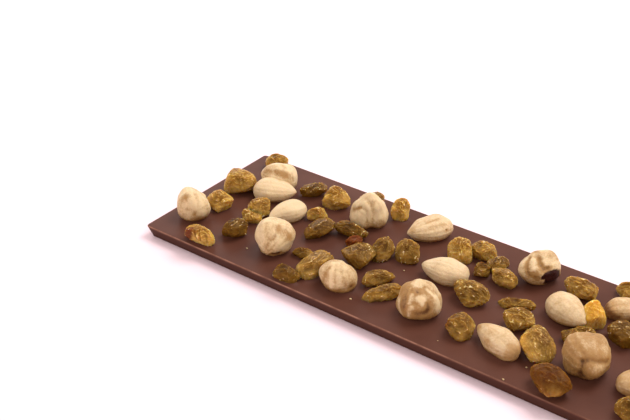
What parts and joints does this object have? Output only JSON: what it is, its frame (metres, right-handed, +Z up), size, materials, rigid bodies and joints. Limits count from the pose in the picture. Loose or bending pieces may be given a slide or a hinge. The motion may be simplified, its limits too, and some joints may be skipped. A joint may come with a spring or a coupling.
{
  "type": "chocolate bar topped with nuts and sultanas",
  "caption": "Flat rectangular bar of milk chocolate with sloping moulded sides, its top face set with whole blanched hazelnuts, blanched almonds and golden sultanas.",
  "frame": {"origin": "middle of the flat underside", "axes": "+X along the bar's length, +Y across its width, +Z up through the topped face"},
  "size_m": [0.2, 0.07, 0.0189],
  "materials": {
    "chocolate": "satin milk chocolate, a little worn along the top edge",
    "hazelnut": "matt blanched kernel, cream with tan shading and fine lengthwise lines",
    "almond": "matt to satin blanched kernel, cream",
    "sultana": "wrinkled, translucent golden brown, with small wet-looking glints"
  },
  "bodies": {
    "root": {"chocolate": "chocolate", "hazelnut_01": "hazelnut", "hazelnut_02": "hazelnut", "hazelnut_03": "hazelnut", "hazelnut_04": "hazelnut", "hazelnut_05": "hazelnut", "hazelnut_06": "hazelnut", "hazelnut_07": "hazelnut", "hazelnut_08": "hazelnut", "hazelnut_09": "hazelnut", "almond_01": "almond", "almond_02": "almond", "almond_03": "almond", "almond_04": "almond", "almond_05": "almond", "almond_06": "almond", "almond_07": "almond", "almond_08": "almond", "almond_09": "almond", "sultana_01": "sultana", "sultana_02": "sultana", "sultana_03": "sultana", "sultana_04": "sultana", "sultana_05": "sultana", "sultana_06": "sultana", "sultana_07": "sultana", "sultana_08": "sultana", "sultana_09": "sultana", "sultana_10": "sultana", "sultana_11": "sultana", "sultana_12": "sultana", "sultana_13": "sultana", "sultana_14": "sultana", "sultana_15": "sultana", "sultana_16": "sultana", "sultana_17": "sultana", "sultana_18": "sultana", "sultana_19": "sultana", "sultana_20": "sultana", "sultana_21": "sultana", "sultana_22": "sultana", "sultana_23": "sultana", "sultana_24": "sultana", "sultana_25": "sultana", "sultana_26": "sultana", "sultana_27": "sultana", "sultana_28": "sultana", "sultana_29": "sultana", "sultana_30": "sultana", "sultana_31": "sultana", "sultana_32": "sultana", "sultana_33": "sultana", "sultana_34": "sultana", "sultana_35": "sultana", "sultana_36": "sultana", "sultana_37": "sultana", "sultana_38": "sultana", "sultana_39": "sultana", "sultana_40": "sultana"}
  },
  "joints": []
}
